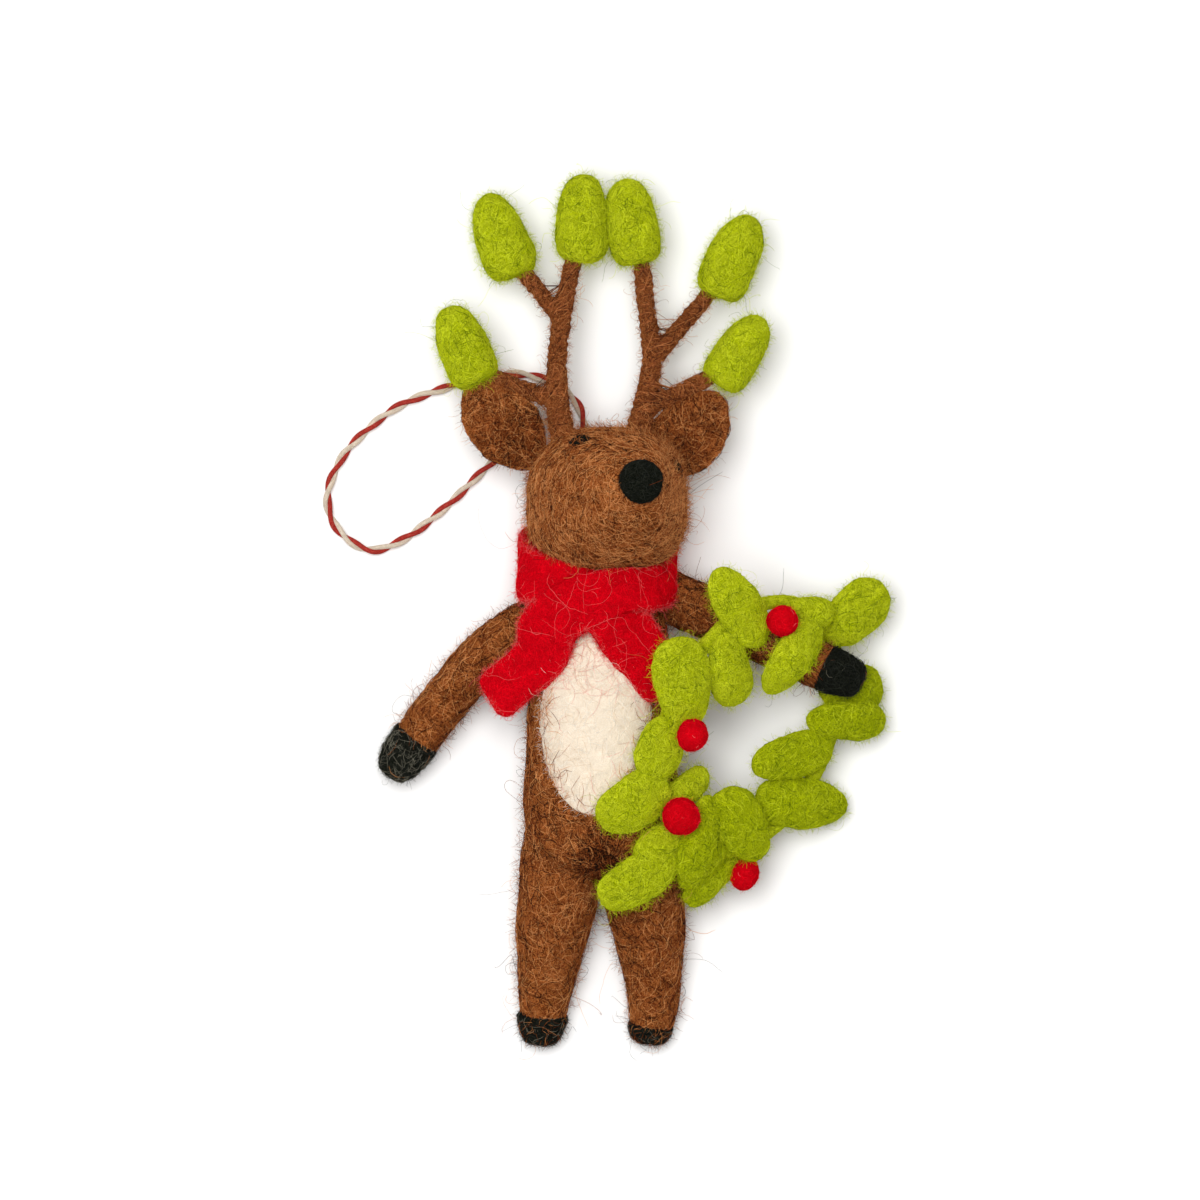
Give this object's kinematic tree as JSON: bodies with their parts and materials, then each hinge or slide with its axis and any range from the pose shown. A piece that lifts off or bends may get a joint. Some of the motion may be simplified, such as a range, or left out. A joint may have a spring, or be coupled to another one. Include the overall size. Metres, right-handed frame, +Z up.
{
  "type": "felt christmas ornament",
  "caption": "Needle-felted reindeer ornament lying on its back, with wired antlers tipped with buds, a felt scarf, a leafy wreath hung on an arm and a twine hanging loop.",
  "frame": {"origin": "middle of the space that the deer fills, on the surface that it lies on; the twine loop is not counted", "axes": "+X towards the deer's left hand, +Y from its hooves to its antlers, +Z up out of its chest"},
  "size_m": [0.1081, 0.1652, 0.0418],
  "materials": {
    "brown_wool": "matt needle-felted wool, fuzzy",
    "cream_wool": "matt needle-felted wool, fuzzy",
    "black_wool": "matt needle-felted wool, fuzzy",
    "red_felt": "matt wool felt, fuzzy",
    "green_felt": "matt wool felt, fuzzy",
    "red_twine": "two-strand twisted cotton twine, matt",
    "steel_wire": "bare craft wire"
  },
  "bodies": {
    "deer": {"torso": "brown_wool", "belly_patch": "cream_wool", "scarf": "red_felt", "head": "brown_wool", "nose": "black_wool", "right_eye": "black_wool", "left_eye": "black_wool", "right_ear": "brown_wool", "left_ear": "brown_wool", "right_antler_wire": "steel_wire", "right_antler_beam": "brown_wool", "right_antler_upper_tine": "brown_wool", "right_antler_lower_tine": "brown_wool", "right_beam_bud": "green_felt", "right_upper_tine_bud": "green_felt", "right_lower_tine_bud": "green_felt", "left_antler_wire": "steel_wire", "left_antler_beam": "brown_wool", "left_antler_upper_tine": "brown_wool", "left_antler_lower_tine": "brown_wool", "left_beam_bud": "green_felt", "left_upper_tine_bud": "green_felt", "left_lower_tine_bud": "green_felt", "hanging_loop": "red_twine"},
    "right_arm_body": {"right_arm": "brown_wool", "right_hand": "black_wool"},
    "left_arm_body": {"left_arm": "brown_wool", "left_hand": "black_wool"},
    "wreath": {"wreath_ring": "green_felt", "wreath_leaf_1": "green_felt", "wreath_leaf_2": "green_felt", "wreath_leaf_3": "green_felt", "wreath_leaf_4": "green_felt", "wreath_leaf_5": "green_felt", "wreath_leaf_6": "green_felt", "wreath_leaf_7": "green_felt", "wreath_leaf_8": "green_felt", "wreath_leaf_9": "green_felt", "wreath_leaf_10": "green_felt", "wreath_leaf_11": "green_felt", "wreath_leaf_12": "green_felt", "wreath_leaf_13": "green_felt", "wreath_leaf_14": "green_felt", "wreath_leaf_15": "green_felt", "wreath_leaf_16": "green_felt", "wreath_leaf_17": "green_felt", "wreath_leaf_18": "green_felt", "wreath_leaf_19": "green_felt", "wreath_berry_1": "red_felt", "wreath_berry_2": "red_felt", "wreath_berry_3": "red_felt", "wreath_berry_4": "red_felt"},
    "right_leg_body": {"right_leg": "brown_wool", "right_hoof": "black_wool"},
    "left_leg_body": {"left_leg": "brown_wool", "left_hoof": "black_wool"}
  },
  "joints": [
    {"name": "right_shoulder", "type": "hinge", "parent": "deer", "child": "right_arm_body", "pos_m": [-0.01668, -0.00114, 0.0105], "axis": [0, 0, -1], "range_deg": [-10, 33]},
    {"name": "left_shoulder", "type": "hinge", "parent": "deer", "child": "left_arm_body", "pos_m": [0.00411, 0.00361, 0.0105], "axis": [0, 0, 1], "range_deg": [0, 24]},
    {"name": "wreath_swing", "type": "hinge", "parent": "left_arm_body", "child": "wreath", "pos_m": [0.03095, -0.00873, 0.01404], "axis": [-0.902, 0.4149, -0.1191], "range_deg": [0, 100]},
    {"name": "right_hip", "type": "hinge", "parent": "deer", "child": "right_leg_body", "pos_m": [-0.01414, -0.04435, 0.0095], "axis": [0, 0, -1], "range_deg": [0, 11]},
    {"name": "left_hip", "type": "hinge", "parent": "deer", "child": "left_leg_body", "pos_m": [0.00111, -0.04435, 0.0095], "axis": [0, 0, 1], "range_deg": [0, 6]}
  ]
}
